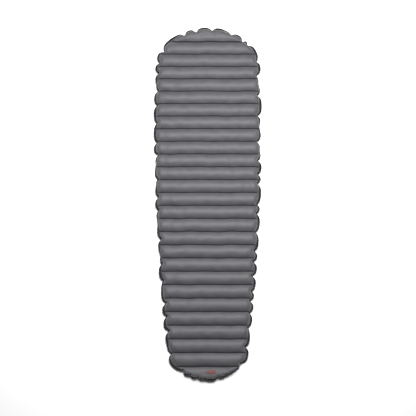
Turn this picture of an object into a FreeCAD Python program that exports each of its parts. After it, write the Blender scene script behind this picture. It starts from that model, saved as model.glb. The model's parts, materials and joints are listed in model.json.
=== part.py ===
import FreeCAD, Part
import math
import os

import Sketcher
from FreeCAD import Placement, Rotation, Vector

# An inflatable sleeping pad, lying on the ground and blown up.
# X is across the pad, Y runs along it with the head end at +Y, and Z is up.
# The origin is on the ground, under the middle of the pad.
#
# The pad is a bag of two fabric sheets, welded together around a flat rim at half height.
# Each sheet is welded inside to a pleated truss film along straight lines across the pad,
# and the two truss films meet at a flat middle film.
# A one-way valve sits in a recess of the lower sheet, under the rim by the right shoulder.

SIZES = [
    # outline, rim edge to rim edge
    ("pad_length", 1830.0),
    ("pad_width", 551.0),
    ("widest_line", 430.0),  # from the middle towards the head, where the pad is widest
    ("foot_taper", 70.0),  # how far each side has come in at the foot line
    ("foot_line", 205.0),  # from the foot end to the foot line
    ("head_flatness", 1.2),  # crown radius over half the pad's width, at the head
    ("foot_flatness", 1.15),  # crown radius over half the width at the foot line
    ("shoulder_radius", 190.0),
    ("foot_corner_radius", 140.0),
    ("rim_width", 8.0),
    # section
    ("pad_height", 64.0),
    ("side_round", 30.0),
    ("side_wall", 2.0),  # the least upright wall between the rim and the rounding
    ("sheet_thickness", 0.8),
    ("baffle_pitch", 66.8),
    ("baffle_rise", 17.6),
    ("weld_width", 6.0),
    ("ground_strip", 16.0),  # width of each lower baffle's flat on the ground
    ("crest_clearance", 2.0),  # crest of the upper baffles to the plane that the edge rounding starts from
    # core
    ("film_thickness", 0.4),
    ("film_margin", 45.0),  # rim edge to film edge
    # valve: radii, and heights along its own axis from the floor of its recess, outwards
    ("valve_bearing", 45.0),  # degrees from +X towards the head, seen from the shoulder's centre
    ("valve_dip", 30.0),  # degrees that the valve looks down
    ("recess_margin", 0.8),  # from the patch to the recess's wall
    ("recess_lip", 0.9),  # how deep the recess is where it is shallowest
    ("collar_radius", 12.0),
    ("collar_wall", 1.6),
    ("collar_height", 7.0),
    ("collar_chamfer", 0.5),
    ("neck_relief", 0.3),  # the neck is this much slimmer than the collar
    ("patch_width", 3.0),
    ("patch_thickness", 0.6),
    ("flange_margin", 1.3),  # from the flange inside the pad to the recess's wall
    ("flange_thickness", 1.5),
    ("barrel_wall", 1.8),
    ("barrel_depth", 12.0),
    ("lip_width", 1.2),
    ("lip_thickness", 1.5),
    ("boss_radius", 3.6),
    ("boss_height", 3.2),
    ("spoke_width", 1.6),
    ("spoke_height", 2.0),
    ("knob_seat", 3.6),  # height of the step in the bore that the knob sits in
    ("knob_step", 1.0),  # how much wider the bore is above the step
    ("knob_disc", 1.6),
    ("hub_radius", 6.4),
    ("hub_bore", 4.6),
    ("hub_depth", 4.6),
    ("knob_turn", 90.0),  # degrees from shut to open
    ("wing_height", 3.4),
    ("wing_clearance", 0.5),  # from the wing's tip to the retaining ring
    ("wing_tip", 2.2),  # half the wing's thickness at its tip
    ("wing_waist", 1.3),  # half the wing's thickness at the middle
    ("wing_round", 0.5),
    ("vent_margin", 0.9),  # from each vent to the hub and to the disc's edge
    ("ring_height", 0.6),
    ("ring_width", 1.4),
    ("ring_grip", 0.5),  # how far the retaining ring reaches into its groove
    ("ring_gap", 30.0),  # degrees
    ("stem_side", 3.0),
    ("stem_top", 2.2),
    ("pin_height", 0.5),
    ("pin_radius", 0.9),
    ("pin_length", 11.6),
    ("cam_rise", 0.3),  # from the pin's top to the cam above it, so that the slope clears the pin
    ("poppet_margin", 0.6),  # from the poppet's edge to the barrel's outside
    ("poppet_thickness", 1.5),
    ("poppet_travel", 4.0),
    ("seal_thickness", 1.0),
    ("seal_width", 1.8),
    ("washer_thickness", 0.5),
    ("washer_radius", 4.1),
    ("spring_wire", 0.5),
    ("spring_radius", 3.0),  # to the middle of its wire
    ("spring_turns", 5.0),
    ("slide_fit", 0.2),  # between the valve's pieces that slide or turn
    ("seat_fit", 0.05),  # around the pin in the stem
]
PATTERN_OVERRUN = 5.0  # how far a cutting or trimming solid runs past what it trims
SPOKES = 3
VENTS = 8
CAMS = 2


class Dim:
    """A size that knows its number and the sheet expression that gives it."""

    def __init__(self, text, number):
        self.text, self.number = text, float(number)

    def joined(self, sign, other, number):
        return Dim(f"({self.text} {sign} {dim(other).text})", number)

    def __add__(self, other):
        return self.joined("+", other, self.number + dim(other).number)

    def __sub__(self, other):
        return self.joined("-", other, self.number - dim(other).number)

    def __rsub__(self, other):
        return dim(other) - self

    def __mul__(self, other):
        return self.joined("*", other, self.number * dim(other).number)

    def __truediv__(self, other):
        return self.joined("/", other, self.number / dim(other).number)

    def __neg__(self):
        return Dim(f"(0 - {self.text})", -self.number)

    def root(self):
        return Dim(f"sqrt({self.text})", math.sqrt(self.number))

    __radd__, __rmul__ = __add__, __mul__


def dim(value):
    return value if isinstance(value, Dim) else Dim(repr(float(value)), value)


def least(one, other):
    return Dim(f"min({one.text}; {other.text})", min(one.number, other.number))


class Sheet:
    """The sizes of the spreadsheet, each as an attribute."""

    def __init__(self, doc):
        cells = doc.addObject("Spreadsheet::Sheet", "Sizes")
        for row, (name, value) in enumerate(SIZES, 1):
            cells.set(f"A{row}", name)
            cells.set(f"B{row}", str(value))
            cells.setAlias(f"B{row}", name)
            setattr(self, name, Dim(f"Sizes.{name}", value))
        doc.recompute()


doc = FreeCAD.newDocument("SleepingPad")
size = Sheet(doc)
ORIGIN = dim(0)


# Helpers ------------------------------------------------------------------------------------------


def bind(thing, prop, value):
    """Sets a property from a size, and keeps it bound to the sheet."""
    thing.setExpression(prop, value.text)


def origin_plane(body, role):
    return [(f, "") for f in body.Origin.OriginFeatures if f.Role == role]


def new_body(name):
    return doc.addObject("PartDesign::Body", name)


def new_sketch(body, name, role, lift=ORIGIN, shift=ORIGIN):
    """A sketch on one of its body's origin planes, lifted off it and shifted along its own X."""
    sketch = body.newObject("Sketcher::SketchObject", name)
    sketch.AttachmentSupport = origin_plane(body, role)
    sketch.MapMode = "FlatFace"
    sketch.AttachmentOffset = Placement(Vector(shift.number, 0, lift.number), Rotation())
    bind(sketch, ".AttachmentOffset.Base.z", lift)
    bind(sketch, ".AttachmentOffset.Base.x", shift)
    return sketch


def constrain(sketch, kind, *where, value):
    index = sketch.addConstraint(Sketcher.Constraint(kind, *where, value.number))
    bind(sketch, f"Constraints[{index}]", value)


def place_point(sketch, geometry, end, x, y):
    """Fixes a point of the sketch at (x, y), each of them bound to the sheet."""
    for kind, axis, value in (("DistanceX", -2, x), ("DistanceY", -1, y)):
        if abs(value.number) < 1e-9:
            sketch.addConstraint(Sketcher.Constraint("PointOnObject", geometry, end, axis))
        else:
            constrain(sketch, kind, -1, 1, geometry, end, value=value)


def arc_ends(sketch, arc, start):
    """Which of an arc's two ends comes first, seen from the point that it starts at."""
    swapped = sketch.getPoint(arc, 1).distanceToPoint(start) > 1e-6
    return (2, 1) if swapped else (1, 2)


def draw_circle(sketch, x, y, radius):
    """A circle whose centre and radius are bound to the sheet."""
    circle = sketch.addGeometry(Part.Circle(Vector(x.number, y.number, 0), Vector(0, 0, 1), radius.number))
    place_point(sketch, circle, 3, x, y)
    constrain(sketch, "Radius", circle, value=radius)


def draw_section(sketch, corners, arcs=()):
    """A closed section through the corners. arcs maps the number of a side to its radius and bulge."""
    points = [Vector(x.number, y.number, 0) for x, y in corners]
    arcs = dict(arcs)
    ends = []
    for side, start in enumerate(points):
        finish = points[(side + 1) % len(points)]
        if side not in arcs:
            sketch.addGeometry(Part.LineSegment(start, finish))
            ends.append((1, 2))
            continue
        radius, bulge = arcs[side]
        middle, half = (start + finish) / 2, (finish - start).Length / 2
        rise = radius.number - math.sqrt(radius.number**2 - half**2)
        sketch.addGeometry(Part.Arc(start, middle + Vector(0, bulge * rise, 0), finish))
        ends.append(arc_ends(sketch, side, start))
    for side, (x, y) in enumerate(corners):
        before = side - 1 if side else len(corners) - 1
        sketch.addConstraint(Sketcher.Constraint("Coincident", before, ends[before][1], side, ends[side][0]))
        place_point(sketch, side, ends[side][0], x, y)
    for side, (radius, _) in arcs.items():
        constrain(sketch, "Radius", side, value=radius)


def pad_sketch(body, sketch, length, symmetric=False, downward=False):
    pad = body.newObject("PartDesign::Pad", sketch.Name + "_pad")
    pad.Profile = sketch
    pad.SideType = "Symmetric" if symmetric else "One side"
    pad.Reversed = downward
    bind(pad, "Length", length)
    return pad


def combine(kind, name, base, *others):
    """A Part boolean of finished objects: Part::Cut, Part::MultiCommon or Part::MultiFuse."""
    made = doc.addObject(kind, name)
    if kind == "Part::Cut":
        made.Base, made.Tool = base, others[0]
    else:
        made.Shapes = [base, *others]
    return made


# Outline ------------------------------------------------------------------------------------------


def half_width():
    return size.pad_width / 2


def rim_height():
    """The plane where the two sheets are welded."""
    return size.pad_height / 2


def side_round():
    """The rounding of the pad's edge, which leaves an upright wall at the rim."""
    return least(size.side_round, rim_height() - size.side_wall)


def side_radius():
    """The side is one long arc, widest at the widest line and in by the taper at the foot line."""
    run = size.widest_line + size.pad_length / 2 - size.foot_line
    return (size.foot_taper * size.foot_taper + run * run) / (size.foot_taper * 2)


def head_crown():
    return size.head_flatness * half_width()


def foot_crown():
    return size.foot_flatness * (half_width() - size.foot_taper)


def corner_centre(crown_y, crown_radius, corner_radius, towards):
    """Centre of the corner arc that touches the crown and the right side arc from inside."""
    side_x, side_y = half_width().number - side_radius().number, size.widest_line.number
    to_crown, to_side = crown_radius - corner_radius, side_radius().number - corner_radius
    gap_x, gap_y = -side_x, crown_y - side_y
    gap = math.hypot(gap_x, gap_y)
    along = (to_side**2 - to_crown**2 + gap**2) / (2 * gap)
    off = math.sqrt(to_side**2 - along**2) * towards
    return side_x + (along * gap_x - off * gap_y) / gap, side_y + (along * gap_y + off * gap_x) / gap


def outline_arcs(inset):
    """The outline's eight arcs, counter-clockwise from the right: centre, radius, first and last turn."""
    half_length = size.pad_length.number / 2
    head_y, head_radius = half_length - head_crown().number, head_crown().number
    foot_y, foot_radius = foot_crown().number - half_length, foot_crown().number
    side_x, side_y = half_width().number - side_radius().number, size.widest_line.number
    shoulder = corner_centre(head_y, head_radius, size.shoulder_radius.number, 1)
    heel = corner_centre(foot_y, foot_radius, size.foot_corner_radius.number, -1)
    head_turn = math.atan2(shoulder[1] - head_y, shoulder[0])
    foot_turn = math.atan2(heel[1] - foot_y, heel[0])
    side_top = math.atan2(shoulder[1] - side_y, shoulder[0] - side_x)
    side_bottom = math.atan2(heel[1] - side_y, heel[0] - side_x)
    half_turn = math.pi
    arcs = [
        (side_x, side_y, side_radius().number, side_bottom, side_top),
        (*shoulder, size.shoulder_radius.number, side_top, head_turn),
        (0, head_y, head_radius, head_turn, half_turn - head_turn),
        (-shoulder[0], shoulder[1], size.shoulder_radius.number, half_turn - head_turn, half_turn - side_top),
        (-side_x, side_y, side_radius().number, half_turn - side_top, half_turn - side_bottom),
        (-heel[0], heel[1], size.foot_corner_radius.number, half_turn - side_bottom, half_turn - foot_turn),
        (0, foot_y, foot_radius, half_turn - foot_turn, 2 * half_turn + foot_turn),
        (*heel, size.foot_corner_radius.number, foot_turn, side_bottom),
    ]
    return [(x, y, radius - inset, first, last) for x, y, radius, first, last in arcs]


def outline_sketch(body, name, inset, lift):
    """The pad's outline, drawn in by inset all round. Each arc keeps its centre and loses the inset."""
    sketch = new_sketch(body, name, "XY_Plane", lift)
    for x, y, radius, first, last in outline_arcs(inset.number):
        circle = Part.Circle(Vector(x, y, 0), Vector(0, 0, 1), radius)
        sketch.addGeometry(Part.ArcOfCircle(circle, first, last))
    for arc in range(8):
        sketch.addConstraint(Sketcher.Constraint("Tangent", arc, 2, (arc + 1) % 8, 1))
    right_side, shoulder, head, _, left_side, _, foot, heel = range(8)
    left_shoulder, left_heel = 3, 5
    side_centre_x = half_width() - side_radius()
    place_point(sketch, right_side, 3, side_centre_x, size.widest_line)
    place_point(sketch, left_side, 3, -side_centre_x, size.widest_line)
    place_point(sketch, head, 3, ORIGIN, size.pad_length / 2 - head_crown())
    place_point(sketch, foot, 3, ORIGIN, foot_crown() - size.pad_length / 2)
    radii = {
        right_side: side_radius(),
        left_side: side_radius(),
        shoulder: size.shoulder_radius,
        left_shoulder: size.shoulder_radius,
        heel: size.foot_corner_radius,
        left_heel: size.foot_corner_radius,
        head: head_crown(),
        foot: foot_crown(),
    }
    for arc, radius in radii.items():
        constrain(sketch, "Radius", arc, value=radius - inset)
    return sketch


# Quilted sheets -----------------------------------------------------------------------------------


def seam_count():
    """As many weld lines as fit, with at least one pitch left beyond the last one at each end."""
    free = size.pad_length.number - 2 * size.baffle_pitch.number - 2 * size.rim_width.number
    return int(free / size.baffle_pitch.number) + 1


def last_seam():
    return size.baffle_pitch * ((seam_count() - 1) / 2)


def baffle_radius():
    half_chord = (size.baffle_pitch - size.weld_width) / 2
    return (half_chord * half_chord + size.baffle_rise * size.baffle_rise) / (size.baffle_rise * 2)


class Half:
    """The heights of one sheet: the upper one, or the lower one that stands on the ground."""

    def __init__(self, name, up):
        self.name, self.up = name, up
        radius = baffle_radius()
        if up:
            self.centre = size.pad_height - radius
            self.weld = size.pad_height - size.baffle_rise
            self.cap = size.pad_height + size.crest_clearance
        else:
            self.centre = (radius * radius - size.ground_strip * size.ground_strip / 4).root()
            self.weld = self.centre - radius + size.baffle_rise
            self.cap = ORIGIN

    def inward(self, height, wall):
        """A height of this sheet, moved into the pad by the wall."""
        return height - wall if self.up else height + wall


def wave_body(half, name, wall):
    """The row of baffles as one solid, full width, with its outer face drawn in by wall."""
    body = new_body(name)
    bulge = 1 if half.up else -1
    pitch, radius = size.baffle_pitch, baffle_radius() - wall
    weld = half.inward(half.weld, wall)
    crest = half.centre + radius if half.up else half.centre - radius
    base = half.inward(rim_height(), PATTERN_OVERRUN)
    drop = half.centre - weld
    half_chord = (radius * radius - drop * drop).root()
    across = size.pad_width + 2 * PATTERN_OVERRUN
    first_bay = last_seam() - pitch / 2

    bay = new_sketch(body, name + "_bay", "YZ_Plane", shift=first_bay)
    corners = [
        (-pitch / 2, base),
        (pitch / 2, base),
        (pitch / 2, weld),
        (half_chord, weld),
        (-half_chord, weld),
        (-pitch / 2, weld),
    ]
    draw_section(bay, corners, {3: (radius, bulge)})
    bay_pad = pad_sketch(body, bay, across, symmetric=True)

    row = body.newObject("PartDesign::LinearPattern", name + "_row")
    row.Originals = [bay_pad]
    row.Direction = (bay, ["H_Axis"])
    row.Reversed = True
    row.Occurrences = seam_count() - 1
    bind(row, "Length", pitch * (seam_count() - 2))
    body.Tip = row

    end = new_sketch(body, name + "_end", "YZ_Plane", shift=last_seam())
    past_end = size.pad_length / 2 - last_seam() + PATTERN_OVERRUN
    corners = [
        (ORIGIN, base),
        (past_end, base),
        (past_end, crest),
        (pitch / 2, crest),
        (pitch / 2 - half_chord, weld),
        (ORIGIN, weld),
    ]
    draw_section(end, corners)
    # the last baffle's inner half is the same arc as the others', from weld to crest
    end.delGeometry(3)
    spring = Vector((pitch / 2 - half_chord).number, weld.number, 0)
    top = Vector((pitch / 2).number, crest.number, 0)
    eighth = Vector(-math.cos(math.pi / 4), bulge * math.sin(math.pi / 4), 0) * radius.number
    between = Vector(top.x, half.centre.number, 0) + eighth
    arc = end.addGeometry(Part.Arc(spring, between, top))
    foot_end, top_end = arc_ends(end, arc, spring)
    end.addConstraint(Sketcher.Constraint("Coincident", arc, top_end, 2, 2))
    end.addConstraint(Sketcher.Constraint("Coincident", arc, foot_end, 3, 1))
    constrain(end, "Radius", arc, value=radius)
    end_pad = pad_sketch(body, end, across, symmetric=True)

    both = body.newObject("PartDesign::Mirrored", name + "_both")
    both.Originals = [end_pad]
    both.MirrorPlane = origin_plane(body, "XZ_Plane")[0][0], [""]
    body.Tip = both
    return body


def dome_body(half, name, wall):
    """The space inside the outline as one solid with a rounded edge, drawn in by wall."""
    body = new_body(name)
    base = half.inward(rim_height(), PATTERN_OVERRUN) if wall is not ORIGIN else rim_height()
    cap = half.inward(half.cap, wall)
    outline = outline_sketch(body, name + "_outline", size.rim_width + wall, base)
    pad = pad_sketch(body, outline, cap - base if half.up else base - cap, downward=not half.up)
    doc.recompute()
    round_edges(body, pad, side_round() - wall, lambda box: flat_at(box, cap.number))
    return body


def flat_at(box, height):
    return max(abs(box.ZMin - height), abs(box.ZMax - height)) < 0.01


def round_edges(body, base, radius, wanted):
    """Rounds the edges of the base feature whose bounding boxes are wanted."""
    edges = [f"Edge{i}" for i, edge in enumerate(base.Shape.Edges, 1) if wanted(edge.BoundBox)]
    made = body.newObject("PartDesign::Fillet", base.Name + "_round")
    made.Base = (base, edges)
    bind(made, "Radius", radius)
    return made


def rim_plate(half):
    """The flat rim that the two sheets are welded along, still filled in."""
    body = new_body(half.name + "_rim")
    outline = outline_sketch(body, half.name + "_rim_outline", ORIGIN, rim_height())
    pad_sketch(body, outline, size.sheet_thickness, downward=not half.up)
    return body


def blown_up(half, wall, side):
    """One sheet's bag as a solid: the row of baffles, trimmed by the domed outline."""
    name = f"{half.name}_{side}"
    wave = wave_body(half, name + "_wave", wall)
    dome = dome_body(half, name + "_dome", wall)
    return combine("Part::MultiCommon", name, wave, dome)


def make_top_sheet():
    outside = blown_up(TOP, ORIGIN, "outside")
    filled = combine("Part::MultiFuse", "top_filled", outside, rim_plate(TOP))
    return combine("Part::Cut", "top_sheet", filled, blown_up(TOP, size.sheet_thickness, "inside"))


def make_bottom_sheet():
    """The lower sheet, with the recess that the valve sits in and the hole that it comes through."""
    outside = blown_up(BOTTOM, ORIGIN, "outside")
    filled = combine("Part::MultiFuse", "bottom_filled", outside, rim_plate(BOTTOM))
    recess = valve_cylinder("recess", recess_radius(), ORIGIN, side_round())
    sunk = combine("Part::Cut", "bottom_recessed", filled, recess)
    inside = blown_up(BOTTOM, size.sheet_thickness, "inside")
    wall = size.sheet_thickness
    recess_back = valve_cylinder("recess_back", recess_radius() + wall, -wall, side_round())
    room = combine("Part::Cut", "bottom_room", inside, recess_back)
    hole = valve_cylinder("valve_hole", hole_radius(), -side_round() / 2, side_round())
    skin = combine("Part::Cut", "bottom_skin", sunk, room)
    return combine("Part::Cut", "bottom_sheet", skin, hole)


# Core films ---------------------------------------------------------------------------------------


def film_outline(name, low, high):
    """The films' outline as a solid between two heights."""
    body = new_body(name)
    outline = outline_sketch(body, name + "_outline", size.film_margin, low)
    pad_sketch(body, outline, high - low)
    return body


def make_truss_film(half):
    """A film pleated once a baffle, from each weld line of its sheet to the middle film and back."""
    name = f"{half.name}_truss"
    body = new_body(name + "_pleats")
    thick = size.film_thickness
    at_sheet = half.inward(half.weld, size.sheet_thickness)
    at_middle = half.inward(rim_height(), -(thick / 2))
    land, reach = size.weld_width / 2, size.baffle_pitch / 2
    outer = [(-reach, at_middle), (land - reach, at_middle), (-land, at_sheet), (land, at_sheet)]
    outer += [(reach - land, at_middle), (reach, at_middle)]
    # one face lies on the middle film, and the other, one film out, on the sheet's weld lines
    near = [(y, z if z is at_middle else half.inward(z, thick)) for y, z in outer]
    far = [(y, half.inward(z, -thick) if z is at_middle else z) for y, z in outer]
    pleat = new_sketch(body, name + "_pleat", "YZ_Plane", shift=last_seam())
    draw_section(pleat, near + far[::-1])
    pleat_pad = pad_sketch(body, pleat, size.pad_width, symmetric=True)
    row = body.newObject("PartDesign::LinearPattern", name + "_row")
    row.Originals = [pleat_pad]
    row.Direction = (pleat, ["H_Axis"])
    row.Reversed = True
    row.Occurrences = seam_count()
    bind(row, "Length", size.baffle_pitch * (seam_count() - 1))
    body.Tip = row
    low, high = sorted((rim_height(), half.cap), key=lambda height: height.number)
    trim = film_outline(name + "_trim", low, high)
    return combine("Part::MultiCommon", ("upper" if half.up else "lower") + "_truss_film", body, trim)


def make_middle_film():
    half_film = size.film_thickness / 2
    return film_outline("middle_film", rim_height() - half_film, rim_height() + half_film)


# Valve --------------------------------------------------------------------------------------------


def valve_placement():
    """The valve's own frame: its origin on the recess floor, its Z straight out of the pad, its Y upwards.

    The recess is sunk square into the rounded edge of the lower sheet, on the middle line of the
    baffle that is nearest to the valve's bearing from the shoulder's centre.
    """
    centre_x, centre_y = outline_arcs(0)[1][:2]
    dip = math.radians(size.valve_dip.number)
    edge_centre = size.shoulder_radius.number - size.rim_width.number - side_round().number
    stand_off = math.sqrt(side_round().number**2 - recess_radius().number**2) - size.recess_lip.number
    reach = edge_centre + stand_off * math.cos(dip)
    wanted_y = centre_y + reach * math.sin(math.radians(size.valve_bearing.number))
    pitch, first = size.baffle_pitch.number, last_seam().number - size.baffle_pitch.number / 2
    baffle_y = first - pitch * max(0, round((first - wanted_y) / pitch))
    bearing = math.asin((baffle_y - centre_y) / reach)
    outward = Vector(math.cos(bearing), math.sin(bearing), 0)
    spot = Vector(centre_x, centre_y, side_round().number) + outward * reach
    spot.z -= stand_off * math.sin(dip)
    axis = outward * math.cos(dip) - Vector(0, 0, math.sin(dip))
    up = outward * math.sin(dip) + Vector(0, 0, math.cos(dip))
    return Placement(spot, Rotation(up.cross(axis), up, axis, "ZYX"))


def valve_cylinder(name, radius, low, high):
    """A plain cylinder on the valve's axis, for cutting."""
    made = doc.addObject("Part::Cylinder", name)
    bind(made, "Radius", radius)
    bind(made, "Height", high - low)
    made.Placement = valve_placement().multiply(Placement(Vector(0, 0, low.number), Rotation()))
    return made


def hole_radius():
    return size.collar_radius + size.slide_fit


def recess_radius():
    return hole_radius() + size.patch_width + size.recess_margin


def knob_bore():
    return size.collar_radius - size.collar_wall


def bore_radius():
    """The bore below the step that the knob sits in."""
    return knob_bore() - size.knob_step


def barrel_radius():
    return bore_radius() + size.barrel_wall


def poppet_radius():
    return barrel_radius() - size.poppet_margin


def ring_inner():
    return knob_bore() + size.ring_grip - size.ring_width


def flange_top():
    return -size.sheet_thickness


def disc_bottom():
    return size.knob_seat + size.slide_fit


def ring_bottom():
    return disc_bottom() + size.knob_disc + size.slide_fit


def boss_top():
    return size.boss_height - size.barrel_depth


def washer_top():
    return size.pin_height - size.pin_radius


def cam_top():
    return size.pin_height + size.pin_radius + size.cam_rise


def turned(name, corners, angle=None):
    """A body turned about the valve's axis from its (radius, height) corners."""
    body = new_body(name)
    section = new_sketch(body, name + "_section", "XZ_Plane")
    draw_section(section, corners)
    revolve = body.newObject("PartDesign::Revolution", name + "_turned")
    revolve.Profile = section
    revolve.ReferenceAxis = (section, ["V_Axis"])
    revolve.Angle = 360
    if angle is not None:
        bind(revolve, "Angle", angle)
    body.Placement = valve_placement()
    return body


def tube_corners(inner, outer, low, high):
    return [(inner, low), (outer, low), (outer, high), (inner, high)]


def disc_corners(radius, low, high):
    return [(ORIGIN, low), (radius, low), (radius, high), (ORIGIN, high)]


def cut_through(body, sketch, depth):
    """A pocket of its sketch, the same depth both ways."""
    pocket = body.newObject("PartDesign::Pocket", sketch.Name + "_cut")
    pocket.Profile = sketch
    pocket.SideType = "Symmetric"
    bind(pocket, "Length", depth)
    return pocket


def ring_pattern(body, feature, count):
    pattern = body.newObject("PartDesign::PolarPattern", feature.Name + "_round")
    pattern.Originals = [feature]
    pattern.Axis = origin_axis(body, "Z_Axis")
    pattern.Angle = 360
    pattern.Occurrences = count
    body.Tip = pattern
    return pattern


def origin_axis(body, role):
    return [f for f in body.Origin.OriginFeatures if f.Role == role][0], [""]


def box_corners(left, right, half):
    return [(left, -half), (right, -half), (right, half), (left, half)]


def square_sketch(body, name, lift, side):
    sketch = new_sketch(body, name, "XY_Plane", lift)
    draw_section(sketch, box_corners(-(side / 2), side / 2, side / 2))
    return sketch


def make_valve_patch():
    outer = hole_radius() + size.patch_width
    return turned("valve_patch_ring", tube_corners(hole_radius(), outer, ORIGIN, size.patch_thickness))


def make_valve_body():
    """The moulded body: flange, collar and barrel in one, with the seat lip and the spider at its foot."""
    neck = size.collar_radius - size.neck_relief
    flange_radius = recess_radius() + size.sheet_thickness - size.flange_margin
    relief_top = size.patch_thickness + size.seat_fit * 2
    chamfered = size.collar_radius - size.collar_chamfer
    lip_top = size.lip_thickness - size.barrel_depth
    groove = knob_bore() + size.ring_grip + size.seat_fit
    groove_low, groove_high = ring_bottom() - size.seat_fit, ring_bottom() + size.ring_height + size.seat_fit
    corners = [
        (bore_radius() - size.lip_width, -size.barrel_depth),
        (barrel_radius(), -size.barrel_depth),
        (barrel_radius(), flange_top() - size.flange_thickness),
        (flange_radius, flange_top() - size.flange_thickness),
        (flange_radius, flange_top()),
        (neck, flange_top()),
        (neck, relief_top),
        (size.collar_radius, relief_top),
        (size.collar_radius, size.collar_height - size.collar_chamfer),
        (chamfered, size.collar_height),
        (knob_bore(), size.collar_height),
        (knob_bore(), groove_high),
        (groove, groove_high),
        (groove, groove_low),
        (knob_bore(), groove_low),
        (knob_bore(), size.knob_seat),
        (bore_radius(), size.knob_seat),
        (bore_radius(), lip_top),
        (bore_radius() - size.lip_width, lip_top),
    ]
    body = turned("valve_body", corners)
    into_wall = (bore_radius() + barrel_radius()) / 2
    spoke = new_sketch(body, "valve_spoke", "XY_Plane", -size.barrel_depth)
    draw_section(spoke, box_corners(ORIGIN, into_wall, size.spoke_width / 2))
    ring_pattern(body, pad_sketch(body, spoke, size.spoke_height), SPOKES)
    boss = new_sketch(body, "valve_boss", "XY_Plane", -size.barrel_depth)
    draw_circle(boss, ORIGIN, ORIGIN, size.boss_radius)
    body.Tip = pad_sketch(body, boss, size.boss_height)
    guide = square_sketch(body, "valve_guide", -size.barrel_depth, size.stem_side + size.slide_fit * 2)
    body.Tip = cut_through(body, guide, size.boss_height * 2 + size.slide_fit)
    return body


def make_poppet():
    """The disc that shuts the valve from inside, and the square stem that pulls it shut."""
    seal_bottom = -size.barrel_depth - size.seal_thickness
    low = seal_bottom - size.poppet_thickness
    body = turned("poppet", disc_corners(poppet_radius(), low, seal_bottom))
    stem = square_sketch(body, "poppet_stem", low, size.stem_side)
    body.Tip = pad_sketch(body, stem, size.stem_top - low)
    cross = new_sketch(body, "poppet_cross_hole", "YZ_Plane")
    draw_circle(cross, ORIGIN, size.pin_height, size.pin_radius + size.seat_fit)
    body.Tip = cut_through(body, cross, size.stem_side * 2)
    return body


def make_poppet_seal():
    outer = poppet_radius() - size.slide_fit
    low = -size.barrel_depth - size.seal_thickness
    return turned("poppet_seal", tube_corners(outer - size.seal_width, outer, low, -size.barrel_depth))


def make_cross_pin():
    body = new_body("cross_pin")
    section = new_sketch(body, "cross_pin_section", "YZ_Plane")
    draw_circle(section, ORIGIN, size.pin_height, size.pin_radius)
    pad_sketch(body, section, size.pin_length, symmetric=True)
    body.Placement = valve_placement()
    return body


def make_spring_washer():
    low = washer_top() - size.washer_thickness
    body = turned("spring_washer", disc_corners(size.washer_radius, low, washer_top()))
    hole = square_sketch(body, "spring_washer_hole", low, size.stem_side + size.seat_fit * 2)
    body.Tip = cut_through(body, hole, size.washer_thickness * 4)
    return body


def make_return_spring():
    """The coil that pushes the washer and the poppet outwards, from the top of the boss to the washer."""
    wire = size.spring_wire / 2
    gap = size.seat_fit
    low, high = boss_top() + wire + gap, washer_top() - size.washer_thickness - wire - gap
    body = new_body("return_spring")
    section = new_sketch(body, "return_spring_wire", "XZ_Plane")
    draw_circle(section, size.spring_radius, low, wire)
    coil = body.newObject("PartDesign::AdditiveHelix", "return_spring_coil")
    coil.Profile = section
    coil.ReferenceAxis = (section, ["V_Axis"])
    coil.Mode = "height-turns-angle"
    bind(coil, "Height", high - low)
    bind(coil, "Turns", size.spring_turns)
    body.Placement = valve_placement()
    return body


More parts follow.
